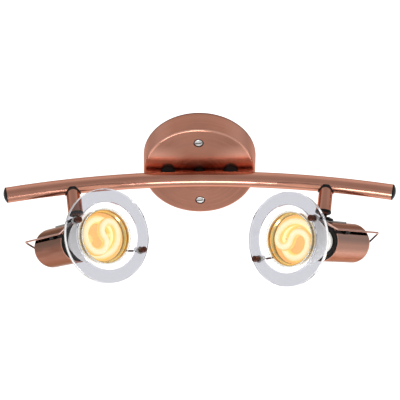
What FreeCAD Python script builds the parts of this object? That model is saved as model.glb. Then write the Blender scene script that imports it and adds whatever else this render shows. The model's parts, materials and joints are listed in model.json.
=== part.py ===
"""Pivoting spotlight wall light: a bowed copper bar on a round canopy, with two
lamp heads that turn and tilt on ball joints and carry a clear glass ring each.

Millimetres. The wall is the plane Y = 0, the light stands out towards -Y, +X is
to the right and +Z is up. The origin is the middle of the wall bracket's back.
"""
import FreeCAD
import Part
import math
import os

V = FreeCAD.Vector
X_AXIS = V(1, 0, 0)
Z_AXIS = V(0, 0, 1)
SIDES = {"left": -1, "right": 1}

# Canopy, the round cover on the wall
CANOPY_RADIUS = 53.5
CANOPY_DEPTH = 23.0
CANOPY_TAPER = 0.9
CANOPY_EDGE = 2.4
CANOPY_WALL = 1.0
SCREW_SPREAD = 36.0
RECESS_RADIUS = 4.7
RECESS_DEPTH = 2.0
SCREW_HOLE = 2.2
BOLT_HOLE = 2.7
NIPPLE_HOLE = 5.05

# Bar, a tube bowed so that its ends come forward
BAR_RADIUS = 7.3
BAR_WALL = 0.9
BAR_STANDOFF = 32.4
BAR_BEND = 795.0
BAR_HALF = 178.0
BOLT_SPREAD = 29.5
CAP_REACH = 3.4

# Wall bracket and what it carries
SHEET = 1.6
SLOT_SPREAD = 60.0
SLOT_LENGTH = 14.0
SLOT_HALF_WIDTH = 2.6
CABLE_HOLE = 6.0
TAB_FRONT = 17.0
BLOCK_LOW_Z = -27.0
BLOCK_HIGH_Z = -11.0
BLOCK_FRONT = 14.0
BLOCK_PITCH = 9.4
BLOCK_SCREWS_Z = (-22.5, -15.5)

# Arms
ARM_X = 118.4
ARM_DROP = 28.0
ARM_RADIUS = 6.5
ARM_BORE = 5.6
ARM_ROOT_BORE = 4.05
ARM_STEP = 15.0
ARM_END = 26.2
GASKET = 0.9
GASKET_RADIUS = 7.4
GASKET_LOW = 2.5
PIVOT_OUT = 26.8

# How the heads are turned and tilted at rest
TURN_IN = {"left": 30.0, "right": 32.9}
TILT = {"left": 78.0, "right": 74.5}
BAIL_TURN = {"left": 70.6, "right": -63.2}

# Ball joint
BALL_RADIUS = 4.9
BALL_FIT = 0.06
COLLAR_RADIUS = 6.9
COLLAR_MOUTH = 1.6
COLLAR_ROOT = 17.0
STEM_RADIUS = 2.7
STEM_BORE = 1.7
STEM_END = 13.6
STEM_NUT = 8.0
FOOT_TOP = 5.4
PIVOT_TO_CUP = 27.6

# Cup and lampholder, along the lamp's axis from the pivot
CUP_RADIUS = 18.5
CUP_WALL = 0.8
CUP_MOUTH = 6.5
CUP_BACK = -54.0
CUP_CORNER = 9.0
CUP_SLOT = 3.6
CUP_SLOT_END = -46.0
CUP_SLOT_SHIFT = 3.5
PLATE_THICK = 1.2
PLATE_WIDTH = 11.0
PLATE_BACK = -29.0
HOLDER_RADIUS = 13.2
HOLDER_BACK = -36.0

# Reflector lamp, 50 mm across and 85 mm long to its front rim
LAMP_RADIUS = 25.0
LAMP_RIM = 59.0
LAMP_SKIRT = 53.0
LAMP_TIP = -26.0
DOME_RISE = 3.6
SPIRAL_RADIUS = 16.2
SPIRAL_TUBE = 3.5
SPIRAL_SLOPE = 0.19
SPIRAL_END = 270.0
SPIRAL_TOP = 53.0
SPIRAL_FOOT = 30.0
SPIRAL_AIM = {"left": -45.0, "right": -105.0}

# Glass ring and its wire bail
RING_OUTER = 42.0
RING_INNER = 30.0
RING_THICK = 4.0
RING_AT = 60.0
RING_HOLE_AT = 34.6
RING_HOLE = 2.35
WIRE_RADIUS = 0.9
WIRE_BEND_AT = 7.5
WIRE_OUT = 20.4
LOOP_CORNER = -65.5
LOOP_BACK = -73.0
WIRE_END = RING_AT + 6.0
TIP_RADIUS = 2.8
TIP_LENGTH = 8.0
TIP_NECK = 2.2
LUG_LOW = -13.0
LUG_HIGH = -6.0
WIRE_FIT = 0.05


def only_solid(shape):
    """The one solid that a cut or a join has to leave."""
    solids = shape.Solids
    if len(solids) != 1:
        raise ValueError("expected one solid, got %d" % len(solids))
    return solids[0]


def profile_point(point):
    """A (radius, height) point in the XZ plane."""
    return V(point[0], 0, point[1])


def outline(points):
    """A closed face from (radius, height) points; a pair of points is an arc's middle and end."""
    edges = []
    here = profile_point(points[0])
    for item in points[1:] + [points[0]]:
        is_arc = isinstance(item[0], tuple)
        there = profile_point(item[1] if is_arc else item)
        if is_arc:
            edges.append(Part.Arc(here, profile_point(item[0]), there).toShape())
        elif there.distanceToPoint(here) > 1e-6:
            edges.append(Part.LineSegment(here, there).toShape())
        here = there
    return Part.Face(Part.Wire(edges))


def dome_arc(radius, low, height):
    """The middle and end of a ball-shaped arc from (radius, low) up to the axis."""
    ball = (radius ** 2 + height ** 2) / (2 * height)
    centre = low + height - ball
    angle = math.atan2(low - centre, radius)
    middle = (angle + math.pi / 2) / 2
    return ((ball * math.cos(middle), centre + ball * math.sin(middle)), (0, low + height))


def corner_arc(radius, low, bend, way=1):
    """The middle and end of a quarter round from (radius, low) in to the level low + bend.

    With way -1 the round goes down from (radius, low) instead.
    """
    kept = bend * (1 - math.sqrt(0.5))
    return ((radius - kept, low + way * (bend - kept)), (radius - bend, low + way * bend))


def turned(points):
    """A solid of revolution about Z from (radius, height) points."""
    return outline(points).revolve(V(0, 0, 0), Z_AXIS, 360)


def rod(radius, low, high, x=0.0, y=0.0):
    """A round bar along Z."""
    return Part.makeCylinder(radius, high - low, V(x, y, low))


def tube(outer, inner, low, high, x=0.0, y=0.0):
    """A round tube along Z."""
    return rod(outer, low, high, x, y).cut(rod(inner, low, high, x, y))


def box(x0, x1, y0, y1, z0, z1):
    """A block between two corners."""
    return Part.makeBox(x1 - x0, y1 - y0, z1 - z0, V(x0, y0, z0))


def hexagon(across, low, high):
    """A hexagonal prism along Z, measured across its flats."""
    corner = across / math.sqrt(3)
    points = []
    for k in range(7):
        angle = math.radians(60 * k)
        points.append(V(corner * math.cos(angle), corner * math.sin(angle), low))
    return Part.Face(Part.makePolygon(points)).extrude(V(0, 0, high - low))


def frame_at(origin, z_axis, x_axis):
    """A placement whose Z and X axes point as given."""
    y_axis = z_axis.cross(x_axis)
    matrix = FreeCAD.Matrix(
        x_axis.x, y_axis.x, z_axis.x, origin.x,
        x_axis.y, y_axis.y, z_axis.y, origin.y,
        x_axis.z, y_axis.z, z_axis.z, origin.z,
        0, 0, 0, 1)
    return FreeCAD.Placement(matrix)


def moved(shape, placement):
    """A copy of the shape moved rigidly by a placement."""
    copy = shape.copy()
    copy.Placement = placement.multiply(copy.Placement)
    return copy


def facing_out(y=0.0, x=0.0, z=0.0):
    """A frame whose Z axis points away from the wall, along -Y."""
    return frame_at(V(x, y, z), V(0, -1, 0), X_AXIS)


def bent_path(points, bends):
    """Straight runs through the points, with a tangent arc at each inner one."""
    edges = []
    here = points[0]
    for k in range(1, len(points) - 1):
        back = (points[k - 1] - points[k]).normalize()
        ahead = (points[k + 1] - points[k]).normalize()
        half = back.getAngle(ahead) / 2
        reach = bends[k - 1] / math.tan(half)
        start = points[k] + back * reach
        end = points[k] + ahead * reach
        middle = (back + ahead).normalize()
        centre = points[k] + middle * (bends[k - 1] / math.sin(half))
        edges.append(Part.LineSegment(here, start).toShape())
        edges.append(Part.Arc(start, centre - middle * bends[k - 1], end).toShape())
        here = end
    edges.append(Part.LineSegment(here, points[-1]).toShape())
    return Part.Wire(edges)


def wire_along(path, radius, smooth=False):
    """A round wire swept along a path; smooth is for a path that bends all the way."""
    start = path.OrderedEdges[0]
    at = start.valueAt(start.FirstParameter)
    direction = start.tangentAt(start.FirstParameter)
    section = Part.Wire(Part.makeCircle(radius, at, direction))
    return path.makePipeShell([section], True, smooth)


def bar_angle(x):
    """The turn of the bar's centre line at a distance from the middle, in radians."""
    return math.asin(x / BAR_BEND)


def bar_point(x):
    """A point on the bar's centre line."""
    forward = BAR_STANDOFF + BAR_BEND * (1 - math.cos(bar_angle(x)))
    return V(x, -forward, 0)


def bowed(radius, low_x, high_x):
    """A round solid that follows the bar between two distances from the middle."""
    centre = V(0, -BAR_STANDOFF - BAR_BEND, 0)
    disc = Part.Face(Part.Wire(Part.makeCircle(radius, bar_point(0), X_AXIS)))
    low = math.degrees(bar_angle(low_x))
    high = math.degrees(bar_angle(high_x))
    disc.rotate(centre, Z_AXIS, -low)
    return disc.revolve(centre, Z_AXIS, low - high)


def bar_near_arm(side, radius):
    """The part of a bowed round that passes the root of an arm."""
    low, high = sorted((SIDES[side] * (ARM_X - 20), SIDES[side] * (ARM_X + 20)))
    return bowed(radius, low, high)


def arm_frame(side):
    """The frame of an arm: origin on the bar's centre line, Z out along the arm."""
    sign = SIDES[side]
    turn = bar_angle(ARM_X)
    drop = math.radians(ARM_DROP)
    outward = V(-sign * math.sin(turn), -math.cos(turn), 0)
    along_bar = V(math.cos(turn), -sign * math.sin(turn), 0)
    direction = outward * math.cos(drop) - Z_AXIS * math.sin(drop)
    return frame_at(bar_point(sign * ARM_X), direction, along_bar)


def head_frame(side):
    """The frame of a lamp head: Z along the lamp, X from its axis to the pivot."""
    arm = arm_frame(side)
    turn = math.radians(SIDES[side] * TURN_IN[side])
    tilt = math.radians(TILT[side])
    aim = V(-math.sin(turn) * math.sin(tilt), math.cos(turn) * math.sin(tilt), math.cos(tilt))
    aim = arm.Rotation.multVec(aim)
    arm_way = arm.Rotation.multVec(Z_AXIS)
    to_pivot = (aim * arm_way.dot(aim) - arm_way).normalize()
    pivot = arm.multVec(V(0, 0, PIVOT_OUT))
    return frame_at(pivot - to_pivot * PIVOT_TO_CUP, aim, to_pivot)


def stem_frame(side):
    """The frame of the ball's stem: origin at the pivot, Z towards the cup's axis."""
    head = head_frame(side)
    to_cup = head.Rotation.multVec(V(-1, 0, 0))
    along_lamp = head.Rotation.multVec(Z_AXIS)
    return frame_at(head.multVec(V(PIVOT_TO_CUP, 0, 0)), to_cup, along_lamp)


def pan_screw(head_radius, head_height, shank_radius, length, slot):
    """A slotted pan-head screw: head above Z = 0, shank below."""
    rim = head_height - 1.1
    head = turned([
        (0, 0), (head_radius, 0), (head_radius, rim),
        ((head_radius - 0.3, rim + 0.5), (head_radius - 0.9, rim + 0.65)), (0, head_height)])
    shank = rod(shank_radius, -length, 0.01)
    reach = head_radius + 1
    groove = box(-reach, reach, -slot / 2, slot / 2, rim, head_height + 1)
    return only_solid(head.cut(groove).fuse(shank).removeSplitter())


def canopy():
    """The spun cover: a shallow cup, open to the wall."""
    front = CANOPY_DEPTH - CANOPY_WALL
    outer_radius = CANOPY_RADIUS - CANOPY_TAPER
    inner_radius = outer_radius - CANOPY_WALL
    outer_bend = CANOPY_EDGE
    inner_bend = CANOPY_EDGE - CANOPY_WALL
    bend_at = CANOPY_DEPTH - CANOPY_EDGE
    outside = turned([
        (0, 0), (CANOPY_RADIUS, 0), (outer_radius, bend_at),
        corner_arc(outer_radius, bend_at, outer_bend), (0, CANOPY_DEPTH)])
    inside = turned([
        (0, 0), (CANOPY_RADIUS - CANOPY_WALL, 0), (inner_radius, bend_at),
        corner_arc(inner_radius, bend_at, inner_bend), (0, front)])
    cover = outside.cut(inside)
    floor = CANOPY_DEPTH - RECESS_DEPTH
    for z in (SCREW_SPREAD, -SCREW_SPREAD):
        cover = cover.fuse(rod(RECESS_RADIUS + CANOPY_WALL, floor - CANOPY_WALL, CANOPY_DEPTH - 0.2, y=z))
        cover = cover.cut(rod(RECESS_RADIUS, floor, CANOPY_DEPTH + 1, y=z))
        cover = cover.cut(rod(SCREW_HOLE, floor - 2, CANOPY_DEPTH, y=z))
    for x in (BOLT_SPREAD, -BOLT_SPREAD):
        cover = cover.cut(rod(BOLT_HOLE, front - 1, CANOPY_DEPTH + 1, x=x))
    cover = cover.cut(rod(NIPPLE_HOLE, front - 1, CANOPY_DEPTH + 1))
    return moved(only_solid(cover.removeSplitter()), facing_out())


def canopy_screws():
    """Two slotted screws that hold the canopy to the bracket's tabs."""
    screws = []
    seat = CANOPY_DEPTH - RECESS_DEPTH
    for z in (SCREW_SPREAD, -SCREW_SPREAD):
        screw = pan_screw(3.9, 2.5, 1.95, seat - TAB_FRONT + 3.5, 1.1)
        screw.rotate(V(0, 0, 0), Z_AXIS, 8)
        screws.append(moved(screw, facing_out(-seat, 0, z)))
    return Part.makeCompound(screws)


def wall_bracket():
    """Bent steel strip: slotted cross on the wall, two tapped tabs near the canopy's front."""
    half = SLOT_SPREAD / 2
    body = box(-11, 11, -SHEET, 0, -32, 32)
    body = body.fuse(box(-half - 11, half + 11, -SHEET, 0, -8, 8))
    for sign in (1, -1):
        low, high = sorted((sign * 30.4, sign * 32))
        body = body.fuse(box(-8, 8, -TAB_FRONT, 0, low, high))
        low, high = sorted((sign * 30.4, sign * 42))
        body = body.fuse(box(-8, 8, -TAB_FRONT, SHEET - TAB_FRONT, low, high))
    cuts = [moved(rod(CABLE_HOLE, -1, SHEET + 1), facing_out())]
    for z in (SCREW_SPREAD, -SCREW_SPREAD):
        cuts.append(moved(rod(2.0, TAB_FRONT - 4, TAB_FRONT + 1), facing_out(0, 0, z)))
    run = SLOT_LENGTH / 2 - SLOT_HALF_WIDTH
    for x in (half, -half):
        slot = box(x - run, x + run, -SHEET - 1, 1, -SLOT_HALF_WIDTH, SLOT_HALF_WIDTH)
        for end in (x - run, x + run):
            slot = slot.fuse(moved(rod(SLOT_HALF_WIDTH, -1, SHEET + 1), facing_out(0, end, 0)))
        cuts.append(slot)
    cuts.append(moved(rod(2.0, -1, SHEET + 1), facing_out(0, 0, 20)))
    for cut in cuts:
        body = body.cut(cut)
    return only_solid(body.removeSplitter())


def earth_screw():
    """The earth terminal: a pan screw with its cup washer on the bracket."""
    seat = SHEET + 1.0
    screw = pan_screw(3.6, 2.4, 1.95, seat, 1.0)
    washer = tube(4.4, 1.98, -1.0, 0)
    return Part.makeCompound([
        moved(screw, facing_out(-seat, 0, 20)),
        moved(washer, facing_out(-seat, 0, 20))])


def terminal_ways():
    """The X positions of the terminal block's three ways."""
    return [BLOCK_PITCH * k for k in (-1, 0, 1)]


def terminal_block():
    """A three-way terminal block of moulded plastic on the bracket."""
    block = box(-14.6, 14.6, -BLOCK_FRONT, -SHEET, BLOCK_LOW_Z, BLOCK_HIGH_Z)
    middle = (BLOCK_FRONT + SHEET) / 2
    for x in terminal_ways():
        block = block.cut(rod(3.0, BLOCK_LOW_Z - 1, BLOCK_HIGH_Z + 1, x, -middle))
        for z in BLOCK_SCREWS_Z:
            block = block.cut(moved(rod(1.9, middle, BLOCK_FRONT + 1), facing_out(0, x, z)))
    groove = box(-0.8, 0.8, -BLOCK_FRONT - 1, 4 - BLOCK_FRONT, BLOCK_LOW_Z - 1, BLOCK_HIGH_Z + 1)
    for x in (-BLOCK_PITCH / 2, BLOCK_PITCH / 2):
        block = block.cut(moved(groove, FreeCAD.Placement(V(x, 0, 0), FreeCAD.Rotation())))
    return only_solid(block)


def terminal_tubes():
    """Three brass tubes in the terminal block, tapped for their screws."""
    middle = (BLOCK_FRONT + SHEET) / 2
    tubes = []
    for x in terminal_ways():
        sleeve = tube(3.0, 2.0, BLOCK_LOW_Z + 1, BLOCK_HIGH_Z - 1, x, -middle)
        for z in BLOCK_SCREWS_Z:
            sleeve = sleeve.cut(moved(rod(1.5, middle, BLOCK_FRONT), facing_out(0, x, z)))
        tubes.append(only_solid(sleeve))
    return Part.makeCompound(tubes)


def terminal_screws():
    """Six small clamping screws in the terminal block."""
    middle = (BLOCK_FRONT + SHEET) / 2
    screws = []
    for x in terminal_ways():
        for z in BLOCK_SCREWS_Z:
            screw = rod(1.45, 0, 5.2).cut(box(-2, 2, -0.3, 0.3, 4.4, 6))
            screws.append(moved(screw, facing_out(-middle - 0.9, x, z)))
    return Part.makeCompound(screws)


def bar_tube():
    """The bowed bar with the holes for its bolts, its wires and both arms."""
    bar = bowed(BAR_RADIUS, -BAR_HALF, BAR_HALF)
    bar = bar.cut(bowed(BAR_RADIUS - BAR_WALL, -BAR_HALF - 1, BAR_HALF + 1))
    for x in (BOLT_SPREAD, -BOLT_SPREAD):
        bar = bar.cut(moved(rod(3.6, BAR_STANDOFF - 9, BAR_STANDOFF - 4), facing_out(0, x, 0)))
    bar = bar.cut(moved(rod(NIPPLE_HOLE, BAR_STANDOFF - 9, BAR_STANDOFF - 3), facing_out()))
    for side in SIDES:
        bar = bar.cut(moved(rod(ARM_ROOT_BORE, 3, 9), arm_frame(side)))
    return only_solid(bar)


def end_cap(side):
    """A black plug in the bar's end with a domed head."""
    sign = SIDES[side]
    turn = bar_angle(BAR_HALF)
    outward = V(sign * math.cos(turn), -math.sin(turn), 0)
    frame = frame_at(bar_point(sign * BAR_HALF), outward, Z_AXIS)
    bore = BAR_RADIUS - BAR_WALL
    rim = 0.9
    plug = turned([
        (0, -7), (bore - 0.5, -7), (bore - 0.1, -6), (bore - 0.1, 0), (BAR_RADIUS, 0), (BAR_RADIUS, rim),
        dome_arc(BAR_RADIUS, rim, CAP_REACH - rim)])
    return moved(plug, frame)


def bar_spacers():
    """Two round spacers between canopy and bar, hollowed to seat the tube."""
    seat = bowed(BAR_RADIUS, -60, 60)
    spacers = []
    for x in (BOLT_SPREAD, -BOLT_SPREAD):
        body = turned([
            (BOLT_HOLE, CANOPY_DEPTH), (7.0, CANOPY_DEPTH), (7.0, CANOPY_DEPTH + 4.2),
            ((6.6, CANOPY_DEPTH + 5.2), (5.6, CANOPY_DEPTH + 5.6)), (BOLT_HOLE, CANOPY_DEPTH + 5.6)])
        spacers.append(only_solid(moved(body, facing_out(0, x, 0)).cut(seat)))
    return Part.makeCompound(spacers)


def bar_bolts():
    """Two bolts that pull the bar onto its spacers from inside the canopy."""
    bolts = []
    head_seat = CANOPY_DEPTH - CANOPY_WALL
    for x in (BOLT_SPREAD, -BOLT_SPREAD):
        bolt = hexagon(8.0, -3.5, 0).fuse(rod(2.45, -0.01, 12.2))
        bolts.append(moved(only_solid(bolt.removeSplitter()), facing_out(-head_seat, x, 0)))
    return Part.makeCompound(bolts)


def bar_rivet_nuts():
    """Two rivet nuts set in the bar's rear wall for the bolts."""
    inside = bowed(BAR_RADIUS - BAR_WALL, -60, 60)
    outside = bowed(BAR_RADIUS, -60, 60)
    low = BAR_STANDOFF - BAR_RADIUS
    nuts = []
    for x in (BOLT_SPREAD, -BOLT_SPREAD):
        barrel = moved(tube(3.5, 2.5, low + 0.4, low + 7.5), facing_out(0, x, 0)).common(outside)
        collar = moved(tube(4.9, 2.5, low + 1, low + 3), facing_out(0, x, 0)).common(inside)
        nuts.append(only_solid(barrel.fuse(collar).removeSplitter()))
    return Part.makeCompound(nuts)


def wire_nipple():
    """The hollow nipple that carries the leads from the canopy into the bar."""
    inside = CANOPY_DEPTH - CANOPY_WALL
    reach = BAR_STANDOFF - BAR_RADIUS + 2.4
    pipe = tube(NIPPLE_HOLE - 0.1, 3.6, inside - 4.5, reach)
    nut = hexagon(13.0, inside - 3.0, inside).cut(rod(5.0, inside - 4, inside + 1))
    return Part.makeCompound([moved(pipe, facing_out()), moved(nut, facing_out())])


def supply_leads():
    """Two insulated leads per lamp, laid along the front of the bar's bore."""
    forward = 3.4
    spread = 1.7
    centre = V(0, -BAR_STANDOFF - BAR_BEND, 0)
    low = math.degrees(bar_angle(9.0))
    high = math.degrees(bar_angle(ARM_X - 7.0))
    leads = []
    for sign in SIDES.values():
        for lift in (spread, -spread):
            ring = Part.makeCircle(1.1, V(0, -BAR_STANDOFF - forward, lift), X_AXIS)
            disc = Part.Face(Part.Wire(ring))
            disc.rotate(centre, Z_AXIS, -sign * low)
            leads.append(disc.revolve(centre, Z_AXIS, -sign * (high - low)))
    return Part.makeCompound(leads)


def arm_gasket(side):
    """The black saddle between the bar and the arm's mouth."""
    ring = moved(tube(GASKET_RADIUS, ARM_ROOT_BORE + 0.05, GASKET_LOW, 9), arm_frame(side))
    ring = ring.common(bar_near_arm(side, BAR_RADIUS + GASKET)).cut(bar_near_arm(side, BAR_RADIUS))
    return only_solid(ring)


def arm_tube(side):
    """The arm: a tube whose mouth is cut to sit on the bar, thicker inside at its root."""
    body = tube(ARM_RADIUS, ARM_ROOT_BORE, 0, ARM_END).cut(rod(ARM_BORE, ARM_STEP, ARM_END + 1))
    return only_solid(moved(body, arm_frame(side)).cut(bar_near_arm(side, BAR_RADIUS + GASKET)))


def arm_screw(side):
    """The hollow screw that holds the arm, with its curved head inside the bar."""
    frame = arm_frame(side)
    head = moved(tube(5.6, 2.6, 1.2, 8), frame).common(bar_near_arm(side, BAR_RADIUS - BAR_WALL))
    shank = moved(tube(ARM_ROOT_BORE - 0.05, 2.6, 4.0, 14.0), frame)
    return only_solid(head.fuse(shank).removeSplitter())


def socket_collar(side):
    """The black collar that turns in the arm's end and holds the ball."""
    root = COLLAR_ROOT
    face = ARM_END + 0.1
    mouth = PIVOT_OUT + COLLAR_MOUTH
    spigot = ARM_BORE - 0.06
    body = turned([
        (3.4, root), (spigot, root), (spigot, root + 2.0), (spigot - 0.8, root + 2.0),
        (spigot - 0.8, root + 3.2), (spigot, root + 3.2), (spigot, face), (COLLAR_RADIUS, face),
        (COLLAR_RADIUS, mouth - 0.5), (COLLAR_RADIUS - 0.5, mouth), (3.4, mouth)])
    seat = Part.makeSphere(BALL_RADIUS + BALL_FIT, V(0, 0, PIVOT_OUT))
    return moved(only_solid(body.cut(seat)), arm_frame(side))


def collar_clip(side):
    """The split spring ring in the collar's groove that keeps it in the arm."""
    low = COLLAR_ROOT + 2.1
    ring = tube(ARM_BORE - 0.06, ARM_BORE - 0.8, low, low + 1.0)
    gap = box(0, 10, -1.0, 1.0, low - 1, low + 2)
    return moved(only_solid(ring.cut(gap)), arm_frame(side))


def ball_stem(side):
    """The copper ball and its hollow threaded stem, which runs into the cup."""
    ball = Part.makeSphere(BALL_RADIUS)
    stem = rod(STEM_RADIUS, 2.0, STEM_END)
    body = ball.fuse(stem).cut(rod(STEM_BORE, -BALL_RADIUS - 1, STEM_END + 1))
    flat = box(-9, 9, -9, 9, -BALL_RADIUS - 1, -4.2)
    return moved(only_solid(body.cut(flat).removeSplitter()), stem_frame(side))


def stem_hole():
    """The hole for the stem, in the head's own frame."""
    place = frame_at(V(PIVOT_TO_CUP, 0, 0), V(-1, 0, 0), Z_AXIS)
    return moved(rod(STEM_RADIUS + 0.03, 2, 14), place)


def stem_nut(side):
    """The nut inside the cup that clamps stem, foot, plate and cup together."""
    corner = STEM_NUT / math.sqrt(3)
    low = PIVOT_TO_CUP - math.sqrt((CUP_RADIUS - CUP_WALL) ** 2 - corner ** 2) + 0.03
    nut = hexagon(STEM_NUT, low, low + 2.4).cut(rod(STEM_RADIUS + 0.03, low - 1, low + 4))
    nut.rotate(V(0, 0, 0), Z_AXIS, 30)
    return moved(only_solid(nut), stem_frame(side))


def stem_foot(side):
    """The black foot under the ball: a low cone that seats on the plate."""
    low = PIVOT_TO_CUP - CUP_RADIUS
    foot = turned([
        (STEM_RADIUS + 0.03, FOOT_TOP), (5.2, FOOT_TOP), ((5.6, FOOT_TOP + 0.15), (5.9, FOOT_TOP + 0.6)),
        (8.4, low - PLATE_THICK - 0.6), (8.6, low + 1.5), (STEM_RADIUS + 0.03, low + 1.5)])
    foot = moved(foot, stem_frame(side))
    core = moved(rod(CUP_RADIUS + PLATE_THICK, -40, 40), head_frame(side))
    return only_solid(foot.cut(core))


def mount_plate(side):
    """The steel strip along the cup's top, rounded to it."""
    front = CUP_MOUTH - 0.6
    back = PLATE_BACK
    half = math.degrees(math.asin(PLATE_WIDTH / 2 / CUP_RADIUS))
    strip = tube(CUP_RADIUS + PLATE_THICK, CUP_RADIUS, back, front)
    wedge = Part.makeCylinder(40, front - back, V(0, 0, back), Z_AXIS, 2 * half)
    wedge.rotate(V(0, 0, 0), Z_AXIS, -half)
    strip = strip.common(wedge)
    return moved(only_solid(strip.cut(stem_hole())), head_frame(side))


def cup(side):
    """The lamp cup: a deep copper cap with a long slot under each leg of the bail."""
    inner = CUP_RADIUS - CUP_WALL
    bend_at = CUP_BACK + CUP_CORNER
    outside = turned([
        (0, CUP_MOUTH), (CUP_RADIUS, CUP_MOUTH), (CUP_RADIUS, bend_at),
        corner_arc(CUP_RADIUS, bend_at, CUP_CORNER, -1), (0, CUP_BACK)])
    inside = turned([
        (0, CUP_MOUTH), (inner, CUP_MOUTH), (inner, bend_at),
        corner_arc(inner, bend_at, CUP_CORNER - CUP_WALL, -1), (0, CUP_BACK + CUP_WALL)])
    body = outside.cut(inside).cut(stem_hole())
    hand = 1 if BAIL_TURN[side] > 0 else -1
    centre = BAIL_TURN[side] + hand * CUP_SLOT_SHIFT
    slot = box(8, 30, -CUP_SLOT / 2, CUP_SLOT / 2, CUP_SLOT_END, CUP_MOUTH + 1)
    for turn in (centre, centre + 180):
        cutter = slot.copy()
        cutter.rotate(V(0, 0, 0), Z_AXIS, turn)
        body = body.cut(cutter)
    return moved(only_solid(body.removeSplitter()), head_frame(side))


def holder_ring(side):
    """The black stepped ring in the cup's mouth. Two grooved lugs in the slots carry the
    legs of the bail, which press inwards, and a notch clears the stem's nut."""
    outer = CUP_RADIUS - CUP_WALL - 0.05
    inner = HOLDER_RADIUS + 0.05
    ring = turned([
        (inner, -3), (outer, -3), (outer, 5.6), (outer - 1.3, 5.6), (outer - 1.3, 4.4),
        (outer - 2.9, 4.4), (outer - 2.9, 2.2), (inner, 2.2)])
    ring = ring.cut(box(12, 19, -5.2, 5.2, -4, 4.4))
    hand = 1 if BAIL_TURN[side] > 0 else -1
    shift = math.radians(CUP_SLOT_SHIFT) * CUP_RADIUS
    near = shift - CUP_SLOT / 2 + 0.1
    far = shift + CUP_SLOT / 2 - 0.1
    for turn, way in ((BAIL_TURN[side], hand), (BAIL_TURN[side] + 180, hand)):
        low, high = sorted((way * near, way * far))
        lug = box(15.2, CUP_RADIUS + 0.6, low, high, LUG_LOW, LUG_HIGH)
        lug = lug.fuse(box(15.2, outer - 0.6, low, high, LUG_LOW, -2))
        lug = lug.fuse(box(CUP_RADIUS + 0.3, WIRE_OUT, low, high, LUG_LOW, LUG_HIGH))
        lug = lug.cut(rod(WIRE_RADIUS + WIRE_FIT, LUG_LOW - 1, LUG_HIGH + 1, WIRE_OUT))
        lug.rotate(V(0, 0, 0), Z_AXIS, turn)
        ring = ring.fuse(lug)
    return moved(only_solid(ring.removeSplitter()), head_frame(side))


def holder_body(side):
    """The lampholder's moulded body, blind at the back with two wire holes."""
    body = turned([
        (0, HOLDER_BACK), (11.0, HOLDER_BACK), (11.0, -24), (HOLDER_RADIUS, -24), (HOLDER_RADIUS, 0.4),
        (8.3, 0.4), (8.3, -29.5), (0, -29.5)])
    for x in (5.5, -5.5):
        body = body.cut(rod(1.4, HOLDER_BACK - 1, -28, x, 0))
    return moved(only_solid(body), head_frame(side))


def holder_contacts(side):
    """The holder's threaded brass shell and the springy centre contact."""
    shell = tube(8.25, 7.15, -26.2, -2.0)
    tongue = box(-6.5, 2.5, -2.2, 2.2, -29.5, -28.9).fuse(box(-0.6, 2.5, -2.2, 2.2, -29.0, -26.3))
    tongue = tongue.cut(box(0.2, 1.9, -3, 3, -28.9, -27.0))
    frame = head_frame(side)
    return Part.makeCompound([moved(shell, frame), moved(only_solid(tongue.removeSplitter()), frame)])


def lamp_base(side):
    """The lamp's pressed screw cap with its insulated centre contact."""
    crest = 7.0
    root = 6.4
    pitch = 2.82
    wall = 0.6
    low = LAMP_TIP + 4.0
    points = [
        (0, LAMP_TIP), (2.4, LAMP_TIP), (2.4, LAMP_TIP + 0.9), (4.0, LAMP_TIP + 1.6), (root, low)]
    for k in range(6):
        z = low + 0.6 + pitch * k
        points += [(root, z), ((crest, z + 0.7), (root, z + 1.4))]
    points += [
        (root, 1.6), (9.0, 2.2), (9.0, 4.0), (root - wall, 4.0), (root - wall, low + 1), (0, low + 1)]
    return moved(turned(points), head_frame(side))


def lamp_body(side):
    """The lamp's satin body: neck, swelling bowl, two bead lines and the front collar."""
    wall = 1.3
    inner = LAMP_RADIUS - wall
    body = turned([
        (0, 4.05), (10.6, 4.05), (11.2, 5.0), (12.4, 9.5),
        ((18.9, 21.5), (24.2, 36.0)),
        (24.4, 45.9), (24.9, 46.3), (24.9, 47.3), (24.4, 47.7),
        (24.4, 50.8), (24.9, 51.2), (LAMP_RADIUS, LAMP_SKIRT - 0.6), (LAMP_RADIUS, LAMP_SKIRT),
        (inner, LAMP_SKIRT), (inner, 40),
        ((17.4, 25.5), (9.5, 18.0)), (9.5, 12.0), (0, 12.0)])
    return moved(body, head_frame(side))


def reflector_bowl():
    """The reflector in the lamp's own frame: a bowl with a stepped rim."""
    lip = LAMP_RADIUS - 1.35
    top = LAMP_RIM - 1.6
    return turned([
        (lip - 0.6, top), (lip, top), (lip, 40.0), ((18.6, 30.2), (10.0, 26.0)),
        (10.0, 25.2), (5.0, 25.2), (5.0, 26.0), (9.4, 26.4), ((17.8, 31.0), (22.5, 40.2)),
        (22.5, 47.0), (21.4, 49.0), (21.4, 51.0), (lip - 0.6, 52.4)])


def lamp_reflector(side):
    """The gold reflector bowl inside the lamp."""
    return moved(reflector_bowl(), head_frame(side))


def lamp_dome(side):
    """The clear front of the lamp: a low dome with a short skirt over the reflector's rim."""
    wall = 0.9
    low = LAMP_SKIRT
    inside = LAMP_RADIUS - wall
    lens = turned([
        (0, low), (LAMP_RADIUS, low), (LAMP_RADIUS, LAMP_RIM),
        dome_arc(LAMP_RADIUS, LAMP_RIM, DOME_RISE)])
    hollow = turned([
        (0, low - 1), (inside, low - 1), (inside, LAMP_RIM),
        dome_arc(inside, LAMP_RIM, DOME_RISE - wall)])
    return moved(only_solid(lens.cut(hollow)), head_frame(side))


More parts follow.
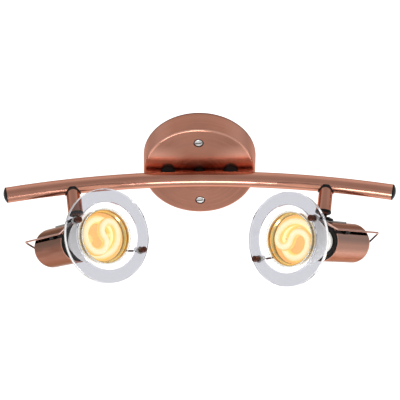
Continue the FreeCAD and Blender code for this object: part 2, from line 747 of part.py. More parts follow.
def spiral_arm(sign):
    """Points of one arm of the lit tube, from the middle of the S to the end of its fall."""
    r = SPIRAL_RADIUS
    half_turn = math.pi * r / 2
    points = []
    for k in range(1, 7):
        turn = math.pi * k / 6
        drop = SPIRAL_SLOPE * (half_turn * k / 6) ** 2 / (2 * half_turn)
        x = r / 2 * (1 - math.cos(turn))
        points.append(V(sign * x, sign * r / 2 * math.sin(turn), SPIRAL_TOP - drop))
    first = SPIRAL_TOP - SPIRAL_SLOPE * half_turn / 2
    steps = 12
    for k in range(1, steps + 1):
        turn = math.radians(SPIRAL_END) * k / steps
        z = first - SPIRAL_SLOPE * r * turn
        points.append(V(sign * r * math.cos(turn), -sign * r * math.sin(turn), z))
    return points


def lamp_spiral(side):
    """The lit tube: an S across the top whose ends run down a double spiral to two feet."""
    there = spiral_arm(1)
    back = spiral_arm(-1)
    curve = Part.BSplineCurve()
    curve.interpolate(back[::-1] + [V(0, 0, SPIRAL_TOP)] + there)
    tube = wire_along(Part.Wire(curve.toShape()), SPIRAL_TUBE, smooth=True)
    for end in (there[-1], back[-1]):
        tube = tube.fuse(rod(SPIRAL_TUBE - 0.05, SPIRAL_FOOT, end.z, end.x, end.y))
        tube = tube.fuse(Part.makeSphere(SPIRAL_TUBE, end))
    tube = max(tube.cut(reflector_bowl()).Solids, key=lambda solid: solid.Volume)
    tube.rotate(V(0, 0, 0), Z_AXIS, SPIRAL_AIM[side])
    return moved(tube, head_frame(side))


def bail_spot(side, out, height):
    """A point in the plane of the bail, in the head's own frame."""
    turn = math.radians(BAIL_TURN[side])
    return V(out * math.cos(turn), out * math.sin(turn), height)


def glass_ring(side):
    """The clear ring round the lamp's front, with a hole for each end of the bail."""
    low = RING_AT - RING_THICK / 2
    high = RING_AT + RING_THICK / 2
    edge = 0.4
    ring = turned([
        (RING_INNER, low + edge), (RING_INNER + edge, low),
        (RING_OUTER - edge, low), (RING_OUTER, low + edge),
        (RING_OUTER, high - edge), (RING_OUTER - edge, high),
        (RING_INNER + edge, high), (RING_INNER, high - edge)])
    for out in (RING_HOLE_AT, -RING_HOLE_AT):
        spot = bail_spot(side, out, 0)
        ring = ring.cut(rod(RING_HOLE, low - 1, high + 1, spot.x, spot.y))
    return moved(only_solid(ring), head_frame(side))


def bail_wire(side):
    """One bent wire: from a tip through the ring, along the cup, round its back and up again."""
    spots = [
        (RING_HOLE_AT, WIRE_END), (RING_HOLE_AT, RING_AT - 4.2), (WIRE_OUT, WIRE_BEND_AT),
        (WIRE_OUT, LOOP_CORNER), (0, LOOP_BACK)]
    spots += [(-out, height) for out, height in reversed(spots[:-1])]
    points = [bail_spot(side, out, height) for out, height in spots]
    path = bent_path(points, [4.0, 6.0, 4.0, 22.0, 4.0, 6.0, 4.0])
    return moved(wire_along(path, WIRE_RADIUS), head_frame(side))


def ring_tips(side):
    """Two copper barrel nuts on the ends of the bail."""
    frame = head_frame(side)
    seat = RING_AT + RING_THICK / 2 + 0.5
    end = seat + TIP_LENGTH
    rounding = 1.6
    tips = []
    for out in (RING_HOLE_AT, -RING_HOLE_AT):
        spot = bail_spot(side, out, 0)
        nut = turned([
            (0, seat), (TIP_NECK, seat), (TIP_NECK, seat + 0.8), (TIP_RADIUS, seat + 1.4),
            (TIP_RADIUS, end - rounding), corner_arc(TIP_RADIUS, end - rounding, rounding), (0, end)])
        nut = only_solid(nut.cut(rod(WIRE_RADIUS, seat - 1, WIRE_END)))
        nut.translate(V(spot.x, spot.y, 0))
        tips.append(moved(nut, frame))
    return Part.makeCompound(tips)


def tip_sleeves(side):
    """Two pale plastic sleeves that line the ring's holes."""
    frame = head_frame(side)
    low = RING_AT - RING_THICK / 2
    high = RING_AT + RING_THICK / 2
    sleeves = []
    for out in (RING_HOLE_AT, -RING_HOLE_AT):
        spot = bail_spot(side, out, 0)
        sleeve = turned([
            (WIRE_RADIUS, low - 1.6), (2.0, low - 1.6),
            (RING_HOLE - 0.02, low - 0.8), (RING_HOLE - 0.02, high),
            (3.4, high), (3.4, high + 0.5), (WIRE_RADIUS, high + 0.5)])
        sleeve.translate(V(spot.x, spot.y, 0))
        sleeves.append(moved(sleeve, frame))
    return Part.makeCompound(sleeves)


FIXED_PIECES = {
    "canopy": canopy,
    "canopy_screws": canopy_screws,
    "wall_bracket": wall_bracket,
    "earth_screw": earth_screw,
    "terminal_block": terminal_block,
    "terminal_tubes": terminal_tubes,
    "terminal_screws": terminal_screws,
    "bar_tube": bar_tube,
    "bar_spacers": bar_spacers,
    "bar_bolts": bar_bolts,
    "bar_rivet_nuts": bar_rivet_nuts,
    "wire_nipple": wire_nipple,
    "supply_leads": supply_leads,
}
SIDE_PIECES = {
    "end_cap": end_cap,
    "arm_gasket": arm_gasket,
    "arm_tube": arm_tube,
    "arm_screw": arm_screw,
    "socket_collar": socket_collar,
    "collar_clip": collar_clip,
    "ball_stem": ball_stem,
    "stem_nut": stem_nut,
    "stem_foot": stem_foot,
    "mount_plate": mount_plate,
    "cup": cup,
    "holder_ring": holder_ring,
    "holder_body": holder_body,
    "holder_contacts": holder_contacts,
    "lamp_base": lamp_base,
    "lamp_body": lamp_body,
    "lamp_reflector": lamp_reflector,
    "lamp_spiral": lamp_spiral,
    "lamp_dome": lamp_dome,
    "glass_ring": glass_ring,
    "bail_wire": bail_wire,
    "ring_tips": ring_tips,
    "tip_sleeves": tip_sleeves,
}


def main():
    """Write every piece to its own file."""
    os.makedirs("parts", exist_ok=True)
    pieces = {name: make() for name, make in FIXED_PIECES.items()}
    for side in SIDES:
        for name, make in SIDE_PIECES.items():
            pieces["%s_%s" % (side, name)] = make(side)
    for name, shape in pieces.items():
        for solid in shape.Solids:
            if not solid.isValid() or solid.Volume <= 0:
                print("check the shape of", name)
        shape.exportStep("parts/%s.step" % name)
        print("%-24s %2d solid(s) %10.1f mm3" % (name, len(shape.Solids), shape.Volume))


main()
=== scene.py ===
"""Looks of the pivoting spotlight wall light: finishes, the lit lamps, studio and camera."""

import json
import math

import bpy
from mathutils import Matrix, Vector

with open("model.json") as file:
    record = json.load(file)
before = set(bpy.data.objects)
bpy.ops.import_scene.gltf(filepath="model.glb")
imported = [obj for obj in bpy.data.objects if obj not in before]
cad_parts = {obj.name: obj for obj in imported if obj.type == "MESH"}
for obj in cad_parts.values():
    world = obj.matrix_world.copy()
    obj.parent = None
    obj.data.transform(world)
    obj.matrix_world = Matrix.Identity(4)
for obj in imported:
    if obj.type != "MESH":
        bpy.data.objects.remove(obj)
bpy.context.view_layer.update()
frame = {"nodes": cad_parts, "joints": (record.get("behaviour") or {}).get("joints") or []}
joints = {joint["name"]: joint for joint in frame["joints"]}

MM = 0.001
SIDES = ("left", "right")

# Sockets of a Mix node for numbers and for colours: the first of its two values, and the result
MIX_SOCKETS = {"FLOAT": (2, 0), "RGBA": (6, 2)}

# Places on the object, millimetres: Y of the axis that the bar is bent round, height of the canopy
# screws off the middle, radius of their recesses, the ball's centre off the lamp's axis, and radius
# of the opening in the reflector's bowl
BEND_Y = -827.4
SCREW_SPREAD = 36.0
RECESS_RADIUS = 4.7
PIVOT_OUT = 27.6
BOWL_OPENING = 9.6

# Colours, linear
COPPER = (0.70, 0.335, 0.240)
COPPER_DARK = (0.56, 0.255, 0.180)
GRAZING = (0.50, 0.36, 0.30, 1)
FACE_COPPER = (0.59, 0.270, 0.190)
FACE_COPPER_DARK = (0.46, 0.205, 0.140)
# Painted highlights on the canopy's face, to both sides and round its upper edge
PAINTED_HIGHLIGHT_COPPER = (0.98, 0.50, 0.370)
# Painted dark reflection of the bar in the middle of the canopy's face
PAINTED_DARK_REFLECTION = (0.40, 0.155, 0.105)
# Painted light on the two ends of the canopy's side wall
PAINTED_LIGHT_COPPER = (0.74, 0.40, 0.315)
# Painted shade in the screw recesses and along the canopy's edge on the wall
PAINTED_SHADE_COPPER = (0.22, 0.085, 0.060)
CUP_COPPER = (0.56, 0.280, 0.212)
CUP_COPPER_DARK = (0.38, 0.172, 0.128)
TIP_COPPER = (0.13, 0.050, 0.035)
# Painted shade on the bail wire
WIRE_PAINTED_SHADE = (0.06, 0.028, 0.022)
BRASS = (0.72, 0.52, 0.22)
STEEL = (0.62, 0.62, 0.61)
NICKEL = (0.78, 0.79, 0.78)
SHADED_NICKEL = (0.10, 0.085, 0.08)
BLACK = (0.012, 0.012, 0.013)
HOLDER_BLACK = (0.03, 0.03, 0.03)
WHITE_PLASTIC = (0.75, 0.75, 0.72)
LEAD_JACKET = (0.62, 0.60, 0.55)
SLEEVE_GREY = (0.55, 0.55, 0.53)
GLASS = (0.505, 0.507, 0.548)
# Painted highlight on the ring glass's edges
PAINTED_GLASS_HIGHLIGHT = (0.90, 0.90, 0.93)
DOME_GLASS = (0.98, 0.98, 0.97)
GOLD = (0.95, 0.81, 0.64)
AMBER = (0.86, 0.56, 0.17)
YELLOW = (0.98, 0.76, 0.30)
BROWN = (0.20, 0.135, 0.065)
LAMP_GREY = (0.80, 0.80, 0.76)
TUBE_COATING = (0.45, 0.42, 0.34)
FLOOR_PAINT = (0.93, 0.93, 0.93)

# Light that surfaces give off: colours, linear, and strengths
NO_GLOW = (0, 0, 0)
LIT_CORE = (0.72, 0.66, 0.42)
LIT_EDGE = (0.70, 0.40, 0.08)
SHELL_GLOW = (0.41, 0.405, 0.39)
BOWL_GLOW = (0.35, 0.19, 0.05)
# Painted glow on the ring glass's edges
PAINTED_GLASS_GLOW = (0.13, 0.13, 0.14)
TUBE_POWER = 1.25
# Strength of the reflector's painted glow
PAINTED_REFLECTOR_GLOW = 0.10

# Scales of the brush lines: across them in two directions, and along them
SPUN_LINES = (1100, 1100, 12)
BAR_LINES = (900, 900, 9)
ARM_LINES = (700, 700, 30)
CUP_LINES = (600, 600, 18)
CLOUD_SHARE = 0.35

# Roughness of the canopy's side wall, and of the reflector in its bowl and at its rim
SIDE_ROUGH = 0.42
BOWL_ROUGH = 0.5
RIM_ROUGH = 0.2

# Painted shade and painted highlights on each cup, the shade towards the arm that it mirrors: a
# direction in the head's frame, the facing where the tone begins, the facing where it is full, and the
# tone
CUP_PAINTED_SHADE_AND_HIGHLIGHTS = {
    "left": (
        ((-1, 0, 0), 0.45, 0.88, (0.34, 0.180, 0.145)),
        ((0.26, 0.966, 0), 0.84, 0.97, (0.31, 0.195, 0.160)),
        ((1, 0, 0), 0.35, 0.85, (0.21, 0.145, 0.130)),
        ((-0.956, -0.293, 0), 0.88, 0.98, (0.50, 0.330, 0.295)),
    ),
    "right": (
        ((-0.26, -0.966, 0), 0.82, 0.98, (0.76, 0.415, 0.320)),
        ((0.26, -0.966, 0), 0.88, 0.98, (0.46, 0.295, 0.250)),
        ((1, 0, 0), 0.60, 0.95, (0.34, 0.230, 0.210)),
        ((-0.98, 0.199, 0), 0.85, 0.97, (0.58, 0.330, 0.270)),
    ),
}

# Painted reflections on the reflector: rings, as shares of the height from deep in its bowl to past
# its rim
REFLECTOR_HEIGHTS = (40, 60)
REFLECTOR_PAINTED_REFLECTIONS = (
    (0.30, GOLD), (0.36, AMBER), (0.41, AMBER), (0.45, BROWN), (0.54, BROWN),
    (0.58, YELLOW), (0.66, YELLOW), (0.72, BROWN), (0.80, BROWN), (0.87, AMBER))

# Tones of the bail, with painted shade at both ends, as shares of the height from behind its back loop
# to past the lamp's front
BAIL_HEIGHTS = (-80, 70)
BAIL_TONES = ((0.085, WIRE_PAINTED_SHADE), (0.105, CUP_COPPER), (0.72, CUP_COPPER), (0.80, WIRE_PAINTED_SHADE))

# Camera, fitted to the photo
TARGET = Vector((0.0, -30 * MM, 0.0))
DISTANCE = 1.2
AZIMUTH = math.radians(1.7)
ELEVATION = math.radians(42.2)
ROLL = math.radians(-1.6)
LENS = 115.2
SENSOR = 36
SHIFT = (0.0017, -0.0569)
CLIP_START = 0.05

# Studio, metres
FLOOR_Z = -0.34
FLOOR_SIZE = 14
FLOOR_GLOW = 0.75
GLOW_AT = (0.0, 0.40)
GLOW_REACH = (0.52, 0.75)
SKY_LOW = 0.54
SKY_TOP = 0.44
SKY_BEHIND = 1.6

# Soft lights: name, place, the point it looks at, size and power
LIGHTS = (
    ("front_strip", (-0.10, -1.9, -0.06), (-0.10, 0, 0), (0.40, 0.40), 2.5),
    ("wide_strip", (-0.65, -1.95, -0.06), (-0.65, 0, 0), (1.5, 0.40), 6.4),
    ("right_fill", (0.45, -0.35, -0.30), (0, 0, 0), (0.25, 0.25), 1.6),
)


def input_of(node, name, value):
    """Set a socket of a node to a plain value."""
    node.inputs[name].default_value = value


def set_range(node, from_min, from_max, to_min=0.0, to_max=1.0):
    """Set the four ends of a Map Range node."""
    input_of(node, "From Min", from_min)
    input_of(node, "From Max", from_max)
    input_of(node, "To Min", to_min)
    input_of(node, "To Max", to_max)


class Surface:
    """A material with a Principled shader and small helpers to wire its textures."""

    def __init__(self, name, colour, rough=0.5, metal=0.0):
        self.material = bpy.data.materials.new(name)
        self.material.use_nodes = True
        self.tree = self.material.node_tree
        self.shader = self.tree.nodes["Principled BSDF"]
        input_of(self.shader, "Base Color", (*colour, 1))
        input_of(self.shader, "Roughness", rough)
        input_of(self.shader, "Metallic", metal)

    def node(self, kind, **settings):
        """Add a node with some of its settings."""
        made = self.tree.nodes.new(kind)
        for name, value in settings.items():
            setattr(made, name, value)
        return made

    def link(self, source, target):
        """Wire an output to an input."""
        self.tree.links.new(source, target)

    def feed(self, name, source):
        """Wire an output to an input of the shader."""
        self.link(source, self.shader.inputs[name])

    def coordinates(self, place=None, stretch=(1, 1, 1)):
        """Object coordinates in metres, seen from a frame, then scaled along its axes."""
        spot = self.node("ShaderNodeTexCoord").outputs["Object"]
        if place is not None:
            inverse = self.node("ShaderNodeMapping", vector_type="TEXTURE")
            input_of(inverse, "Location", place.to_translation())
            input_of(inverse, "Rotation", place.to_euler())
            self.link(spot, inverse.inputs["Vector"])
            spot = inverse.outputs["Vector"]
        return self.scaled(spot, stretch)

    def scaled(self, vector, stretch):
        """A vector scaled along its axes."""
        made = self.node("ShaderNodeMapping", vector_type="POINT")
        input_of(made, "Scale", stretch)
        self.link(vector, made.inputs["Vector"])
        return made.outputs["Vector"]

    def split(self, vector):
        """The X, Y and Z of a vector."""
        made = self.node("ShaderNodeSeparateXYZ")
        self.link(vector, made.inputs["Vector"])
        return {axis: made.outputs[axis] for axis in "XYZ"}

    def joined(self, **parts):
        """A vector of some of its X, Y and Z, and 0 for the rest."""
        made = self.node("ShaderNodeCombineXYZ")
        for axis, value in parts.items():
            self.link(value, made.inputs[axis])
        return made.outputs["Vector"]

    def distance(self, vector, centre):
        """How far a place is from a fixed point."""
        made = self.node("ShaderNodeVectorMath", operation="DISTANCE")
        input_of(made, 1, centre)
        self.link(vector, made.inputs[0])
        return made.outputs["Value"]

    def absolute(self, value):
        """A value without its sign."""
        made = self.node("ShaderNodeMath", operation="ABSOLUTE")
        self.link(value, made.inputs[0])
        return made.outputs["Value"]

    def around(self, axis, centre, stretch):
        """Distance from an upright or level axis, height along it and a slow drift, each scaled."""
        spot = self.split(self.coordinates())
        flat = self.joined(**{name: value for name, value in spot.items() if name != axis})
        ringed = self.joined(X=self.distance(flat, centre), Y=spot[axis], Z=spot["X"])
        return self.scaled(ringed, stretch)

    def noise(self, vector, scale=1.0, detail=3.0):
        """A cloudy value round 0.5."""
        made = self.node("ShaderNodeTexNoise")
        input_of(made, "Scale", scale)
        input_of(made, "Detail", detail)
        self.link(vector, made.inputs["Vector"])
        return made.outputs["Fac"]

    def ramp(self, value, *stops):
        """A colour ramp through (position, colour) stops."""
        made = self.node("ShaderNodeValToRGB")
        elements = made.color_ramp.elements
        while len(elements) < len(stops):
            elements.new(0.5)
        for element, (position, colour) in zip(elements, stops):
            element.position = position
            element.color = (*colour, 1)
        self.link(value, made.inputs["Fac"])
        return made.outputs["Color"]

    def remap(self, value, *ends):
        """Map a value from one range to another, 0..1 if none is given, and hold it at the ends."""
        made = self.node("ShaderNodeMapRange")
        set_range(made, *ends)
        self.link(value, made.inputs["Value"])
        return made.outputs["Result"]

    def spread(self, value, low, high):
        """Map a cloudy value to a range."""
        return self.remap(value, 0.3, 0.7, low, high)

    def reach(self, value, near, far):
        """0..1 as a length goes from one distance to another, in millimetres."""
        return self.remap(value, near * MM, far * MM)

    def off_axis(self, place, near, far):
        """0..1 away from the Z axis of a frame, between two distances in millimetres."""
        made = self.node("ShaderNodeVectorMath", operation="LENGTH")
        self.link(self.coordinates(place, (1, 1, 0)), made.inputs[0])
        return self.reach(made.outputs["Value"], near, far)

    def along(self, place, low, high):
        """0..1 along the Z axis of a frame, between two distances in millimetres."""
        return self.reach(self.split(self.coordinates(place))["Z"], low, high)

    def facing(self, direction):
        """How far the surface turns towards a direction that is fixed to the object, -1..1."""
        made = self.node("ShaderNodeVectorMath", operation="DOT_PRODUCT")
        input_of(made, 1, direction)
        self.link(self.node("ShaderNodeTexCoord").outputs["Normal"], made.inputs[0])
        return made.outputs["Value"]

    def product(self, first, *others):
        """Several factors multiplied."""
        for other in others:
            made = self.node("ShaderNodeMath", operation="MULTIPLY")
            self.link(first, made.inputs[0])
            self.link(other, made.inputs[1])
            first = made.outputs["Value"]
        return first

    def blend(self, name, factor, value):
        """Mix what feeds an input of the shader towards a plain number or colour."""
        kind = "FLOAT" if isinstance(value, float) else "RGBA"
        first, result = MIX_SOCKETS[kind]
        mix = self.node("ShaderNodeMix", data_type=kind)
        self.link(factor, mix.inputs[0])
        self.link(self.shader.inputs[name].links[0].from_socket, mix.inputs[first])
        input_of(mix, first + 1, value if kind == "FLOAT" else (*value, 1))
        self.feed(name, mix.outputs[result])

    def bump(self, height, strength, distance):
        """Raise the surface a little with a texture."""
        made = self.node("ShaderNodeBump")
        input_of(made, "Strength", strength)
        input_of(made, "Distance", distance)
        self.link(height, made.inputs["Height"])
        self.feed("Normal", made.outputs["Normal"])

    def glow(self, colour, power=1.0):
        """Give off light of a textured colour."""
        self.feed("Emission Color", colour)
        input_of(self.shader, "Emission Strength", power)


def brushed_copper(
        name, place, stretch, rough=(0.16, 0.22), rings=None, tones=(COPPER_DARK, COPPER)):
    """Antique copper with fine brush lines; stretch is high across the lines.

    With rings, an axis and its place, the lines are circles about that axis.
    """
    surface = Surface(name, COPPER, metal=1.0)
    input_of(surface.shader, "Specular Tint", GRAZING)
    across = surface.around(*rings, stretch) if rings else surface.coordinates(place, stretch)
    lines = surface.noise(across, detail=4)
    clouds = surface.noise(surface.coordinates(place), scale=45)
    first, result = MIX_SOCKETS["FLOAT"]
    tone = surface.node("ShaderNodeMix", data_type="FLOAT")
    input_of(tone, 0, CLOUD_SHARE)
    surface.link(lines, tone.inputs[first])
    surface.link(clouds, tone.inputs[first + 1])
    surface.feed("Base Color", surface.ramp(tone.outputs[result], (0.32, tones[0]), (0.62, tones[1])))
    surface.feed("Roughness", surface.spread(lines, *rough))
    return surface


def canopy_finish():
    """Spun copper: glossy on the face, more matt on the side wall, with painted light at its two ends.

    Painted highlights make the face bright to both sides, and a painted dark reflection of the bar
    makes it dark in the middle above the bar. A painted highlight runs round its upper edge. The
    screw recesses and the edge on the wall are dark with painted shade.
    """
    surface = brushed_copper(
        "copper_canopy", None, SPUN_LINES, rough=(0.19, 0.27), rings=("Y", (0, 0, 0)),
        tones=(FACE_COPPER_DARK, FACE_COPPER))
    input_of(surface.shader, "Anisotropic", 0.6)
    input_of(surface.shader, "Anisotropic Rotation", 0.25)
    tangent = surface.node("ShaderNodeTangent", direction_type="RADIAL", axis="Y")
    surface.feed("Tangent", tangent.outputs["Tangent"])
    across, depth, height = surface.split(surface.coordinates()).values()
    folded = surface.joined(X=across, Z=surface.absolute(height))
    off_screw = surface.distance(folded, (0, 0, SCREW_SPREAD * MM))
    sideways = surface.absolute(across)
    on_face = (depth, -21.5, -22.5)

    def zone(*bands):
        """1 inside a zone: past the far end of every band, a length with its two ends."""
        return surface.product(*(surface.reach(*band) for band in bands))

    # Painted light on the canopy: highlights, a dark reflection of the bar, paler side-wall ends, and
    # shade in the recesses and at the wall edge
    for tone, share in (
            (PAINTED_HIGHLIGHT_COPPER, zone((sideways, 12, 40), on_face, (height, 34, 22), (height, 4, 9))),
            (PAINTED_DARK_REFLECTION, zone((sideways, 18, 5), on_face, (height, 19, 15), (height, -2, 2))),
            (PAINTED_LIGHT_COPPER, zone((sideways, 22, 50), (depth, -22.5, -20.5))),
            (PAINTED_HIGHLIGHT_COPPER, zone((depth, -23.0, -22.7), (depth, -21.6, -22.1), (height, 0, 10))),
            (PAINTED_SHADE_COPPER, zone((off_screw, RECESS_RADIUS + 0.2, RECESS_RADIUS - 0.1))),
            (PAINTED_SHADE_COPPER, zone((depth, -1.8, -0.6)))):
        surface.blend("Base Color", share, tone)
    surface.blend("Roughness", zone((depth, -22.0, -20.5)), SIDE_ROUGH)
    return surface


def mottled(name, colour, rough, metal=0.0, scale=220, tint=0.85, shine=0.5):
    """A plain finish with a faint cloudy grain in colour, gloss and surface."""
    surface = Surface(name, colour, rough, metal)
    input_of(surface.shader, "Specular IOR Level", shine)
    grain = surface.noise(surface.coordinates(), scale=scale)
    darker = tuple(channel * tint for channel in colour)
    surface.feed("Base Color", surface.ramp(grain, (0.35, darker), (0.65, colour)))
    surface.feed("Roughness", surface.spread(grain, rough * 0.85, min(1, rough * 1.15)))
    surface.bump(grain, strength=0.1, distance=0.03 * MM)
    return surface


def screw_finish():
    """Nickel, with painted shade on the flanks of the heads."""
    surface = mottled("nickel_screws", NICKEL, rough=0.22, metal=1.0)
    front = surface.facing((0, -1, 0))
    surface.feed("Base Color", surface.ramp(front, (0.35, SHADED_NICKEL), (0.6, NICKEL)))
    return surface


def clear_glass(name, colour):
    """Clear glass with the faintest waviness."""
    surface = Surface(name, colour, rough=0.0)
    input_of(surface.shader, "Transmission Weight", 1.0)
    input_of(surface.shader, "IOR", 1.47)
    waves = surface.noise(surface.coordinates(), scale=60)
    surface.bump(waves, strength=0.04, distance=0.1 * MM)
    return surface


def ring_finish(name, place):
    """Faintly tinted glass with a painted highlight on its ground edges: paler there, and glowing."""
    surface = clear_glass(name, GLASS)
    flatness = surface.absolute(surface.facing(place.to_3x3().col[2]))
    edge = surface.remap(flatness, 0.9, 0.5)
    surface.feed("Base Color", surface.ramp(edge, (0.0, GLASS), (1.0, PAINTED_GLASS_HIGHLIGHT)))
    surface.glow(surface.ramp(edge, (0.0, NO_GLOW), (1.0, PAINTED_GLASS_GLOW)))
    return surface


def cup_finish(side, place):
    """Copper cup with painted shade and painted highlights: dark towards the arm, darker and lighter
    round its sides.
    """
    surface = brushed_copper(
        "copper_cup_" + side, place, CUP_LINES, tones=(CUP_COPPER_DARK, CUP_COPPER))
    turn = place.to_3x3()
    for direction, start, full, tone in CUP_PAINTED_SHADE_AND_HIGHLIGHTS[side]:
        share = surface.remap(surface.facing(turn @ Vector(direction)), start, full)
        surface.blend("Base Color", share, tone)
    return surface


def bail_finish(name, place):
    """Copper wire with painted shade where it comes near the lamp's front and round its back loop."""
    surface = Surface(name, CUP_COPPER, rough=0.2, metal=1.0)
    surface.feed("Base Color", surface.ramp(surface.along(place, *BAIL_HEIGHTS), *BAIL_TONES))
    grain = surface.noise(surface.coordinates(), scale=400)
    surface.feed("Roughness", surface.spread(grain, 0.16, 0.26))
    return surface


def lamp_shell(name, place):
    """The lamp's pale outside, lit from within; warm where it shows in the reflector's opening."""
    surface = mottled(name, LAMP_GREY, rough=0.32, scale=60, tint=0.95)
    out = surface.off_axis(place, BOWL_OPENING, BOWL_OPENING + 0.3)
    surface.feed("Base Color", surface.ramp(out, (0.0, GOLD), (1.0, LAMP_GREY)))
    surface.glow(surface.ramp(out, (0.0, BOWL_GLOW), (1.0, SHELL_GLOW)))
    return surface


def glowing(name, place):
    """The white coated tube of the lit lamp, yellower towards its sides."""
    surface = mottled(name, TUBE_COATING, rough=0.35, scale=300, tint=0.96)
    turned_out = surface.facing(place.to_3x3().col[2])
    surface.glow(surface.ramp(turned_out, (0.5, LIT_EDGE), (0.93, LIT_CORE)), TUBE_POWER)
    return surface


def reflector(name, place):
    """The lamp's gold reflector: pale and satin in the bowl, with painted reflections in amber and
    brown lines at the rim, and a faint painted glow.
    """
    surface = Surface(name, GOLD, metal=1.0)
    height = surface.along(place, *REFLECTOR_HEIGHTS)
    rings = surface.ramp(height, *REFLECTOR_PAINTED_REFLECTIONS)
    surface.feed("Base Color", rings)
    surface.glow(rings, PAINTED_REFLECTOR_GLOW)
    surface.feed("Roughness", surface.remap(height, 0.3, 0.5, BOWL_ROUGH, RIM_ROUGH))
    grain = surface.noise(surface.coordinates(), scale=150)
    surface.bump(grain, strength=0.1, distance=0.03 * MM)
    return surface


def dress(surface, *nodes):
    """Give CAD nodes a finish."""
    for name in nodes:
        mesh = frame["nodes"][name].data
        mesh.materials.clear()
        mesh.materials.append(surface.material)


def joint_axis(name):
    """Direction of a joint."""
    return Vector(joints[name]["axis"]).normalized()


def head_place(side):
    """The frame of a head: Z along the lamp, X towards the pivot, from its joint data."""
    aim = joint_axis(side + "_ring_slide")
    hinge = joint_axis(side + "_tilt")
    pivot = Vector(joints[side + "_tilt"]["pos_m"])
    to_pivot = hinge.cross(aim)
    turn = Matrix((to_pivot, hinge, aim)).transposed()
    return Matrix.Translation(pivot - to_pivot * PIVOT_OUT * MM) @ turn.to_4x4()


def arm_place(side):
    """The frame of an arm: Z out along it."""
    turn = joint_axis(side + "_swivel").to_track_quat("Z", "Y").to_matrix()
    return Matrix.Translation(Vector(joints[side + "_swivel"]["pos_m"])) @ turn.to_4x4()


def finishes():
    """Dress every CAD node."""
    dress(canopy_finish(), "canopy")
    bend = ("Z", (0, BEND_Y * MM, 0))
    dress(brushed_copper("copper_bar", None, BAR_LINES, rings=bend), "bar_tube")
    black = mottled("black_plastic", BLACK, rough=0.34, tint=0.7, shine=0.14)
    rubber = mottled("black_gasket", BLACK, rough=0.6, tint=0.7, shine=0.25)
    steel = mottled("zinc_steel", STEEL, rough=0.38, metal=1.0)
    nickel = mottled("nickel_plate", NICKEL, rough=0.22, metal=1.0)
    screw = screw_finish()
    brass = mottled("plain_brass", BRASS, rough=0.35, metal=1.0)
    white = mottled("white_plastic", WHITE_PLASTIC, rough=0.45)
    holder = mottled("holder_plastic", HOLDER_BLACK, rough=0.5, tint=0.7)
    lead = mottled("lead_jacket", LEAD_JACKET, rough=0.5)
    sleeve = mottled("pale_sleeve", SLEEVE_GREY, rough=0.4)
    tip_copper = mottled("copper_tips", TIP_COPPER, rough=0.3, metal=1.0)
    dome_glass = clear_glass("dome_glass", DOME_GLASS)
    dress(screw, "canopy_screws")
    dress(steel, "wall_bracket", "bar_bolts", "bar_rivet_nuts", "terminal_screws")
    dress(brass, "earth_screw", "terminal_tubes")
    dress(white, "terminal_block")
    dress(lead, "supply_leads")
    dress(rubber, "bar_spacers", "wire_nipple")
    for side in SIDES:
        head = head_place(side)
        arm = arm_place(side)
        for surface, *pieces in (
                (cup_finish(side, head), "cup"),
                (bail_finish("copper_wire_" + side, head), "bail_wire"),
                (brushed_copper("copper_arm_" + side, arm, ARM_LINES), "arm_tube"),
                (tip_copper, "ring_tips", "ball_stem"),
                (black, "end_cap", "socket_collar", "stem_foot", "holder_ring"),
                (rubber, "arm_gasket"),
                (steel, "arm_screw", "collar_clip", "stem_nut", "mount_plate"),
                (holder, "holder_body"),
                (brass, "holder_contacts"),
                (nickel, "lamp_base"),
                (lamp_shell("lamp_shell_" + side, head), "lamp_body"),
                (reflector("gold_reflector_" + side, head), "lamp_reflector"),
                (glowing("lit_tube_" + side, head), "lamp_spiral"),
                (dome_glass, "lamp_dome"),
                (ring_finish("ring_glass_" + side, head), "glass_ring"),
                (sleeve, "tip_sleeves")):
            dress(surface, *(side + "_" + piece for piece in pieces))


def placed(name, data):
    """Put a mesh, a light or a camera into the scene."""
    made = bpy.data.objects.new(name, data)
    bpy.context.scene.collection.objects.link(made)
    return made


def plane(name, size, location):
    """A flat square, facing up."""
    half = size / 2
    corners = [(-half, -half, 0), (half, -half, 0), (half, half, 0), (-half, half, 0)]
    mesh = bpy.data.meshes.new(name)
    mesh.from_pydata(corners, [], [(0, 1, 2, 3)])
    made = placed(name, mesh)
    made.location = location
    return made


def area_light(name, place, aim, size, power):
    """A rectangular soft light that looks at a point."""
    data = bpy.data.lights.new(name, "AREA")
    data.shape = "RECTANGLE"
    data.size, data.size_y = size
    data.energy = power
    made = placed(name, data)
    made.location = place
    made.rotation_euler = (Vector(aim) - Vector(place)).to_track_quat("-Z", "Y").to_euler()


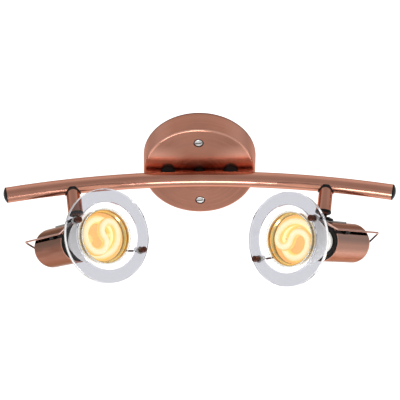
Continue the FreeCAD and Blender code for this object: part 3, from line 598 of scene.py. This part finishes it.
def pale_floor():
    """A wide pale floor that glows in a disc behind the object."""
    floor = plane("floor", FLOOR_SIZE, (0, 0, FLOOR_Z))
    paint = Surface("floor_paint", FLOOR_PAINT, rough=0.9)
    input_of(paint.shader, "Specular IOR Level", 0.1)
    input_of(paint.shader, "Emission Color", (1, 1, 1, 1))
    glow = paint.node("ShaderNodeMapRange", interpolation_type="SMOOTHSTEP")
    set_range(glow, *GLOW_REACH, FLOOR_GLOW, 0.0)
    paint.link(paint.distance(paint.coordinates(), (*GLOW_AT, 0)), glow.inputs["Value"])
    paint.feed("Emission Strength", glow.outputs["Result"])
    floor.data.materials.append(paint.material)


def even_sky():
    """A pale sky, a little darker at its top and brighter behind the object."""
    world = bpy.data.worlds.new("studio")
    world.use_nodes = True
    nodes, links = world.node_tree.nodes, world.node_tree.links
    back = nodes["Background"]
    input_of(back, "Color", (1, 1, 1, 1))
    spot = nodes.new("ShaderNodeSeparateXYZ")
    links.new(nodes.new("ShaderNodeTexCoord").outputs["Generated"], spot.inputs["Vector"])
    strength = nodes.new("ShaderNodeMath")
    strength.operation = "MULTIPLY"
    for slot, axis, ends in (
            (0, "Z", (0.45, 1.0, SKY_LOW, SKY_TOP)),
            (1, "Y", (0.0, 0.6, 1.0, SKY_BEHIND))):
        falloff = nodes.new("ShaderNodeMapRange")
        falloff.interpolation_type = "SMOOTHSTEP"
        set_range(falloff, *ends)
        links.new(spot.outputs[axis], falloff.inputs["Value"])
        links.new(falloff.outputs["Result"], strength.inputs[slot])
    links.new(strength.outputs["Value"], back.inputs["Strength"])
    bpy.context.scene.world = world
    bpy.context.scene.view_settings.view_transform = "Standard"


def camera():
    """The photo's view."""
    back = Vector((
        math.sin(AZIMUTH) * math.cos(ELEVATION),
        -math.cos(AZIMUTH) * math.cos(ELEVATION),
        math.sin(ELEVATION)))
    right = Vector((math.cos(AZIMUTH), math.sin(AZIMUTH), 0))
    up = back.cross(right)
    across = right * math.cos(ROLL) + up * math.sin(ROLL)
    above = up * math.cos(ROLL) - right * math.sin(ROLL)
    turn = Matrix((across, above, back)).transposed()
    data = bpy.data.cameras.new("camera")
    data.lens = LENS
    data.sensor_width = SENSOR
    data.shift_x, data.shift_y = SHIFT
    data.clip_start = CLIP_START
    made = placed("camera", data)
    made.matrix_world = Matrix.Translation(TARGET + back * DISTANCE) @ turn.to_4x4()
    bpy.context.scene.camera = made


finishes()
pale_floor()
even_sky()
for light in LIGHTS:
    area_light(*light)
camera()
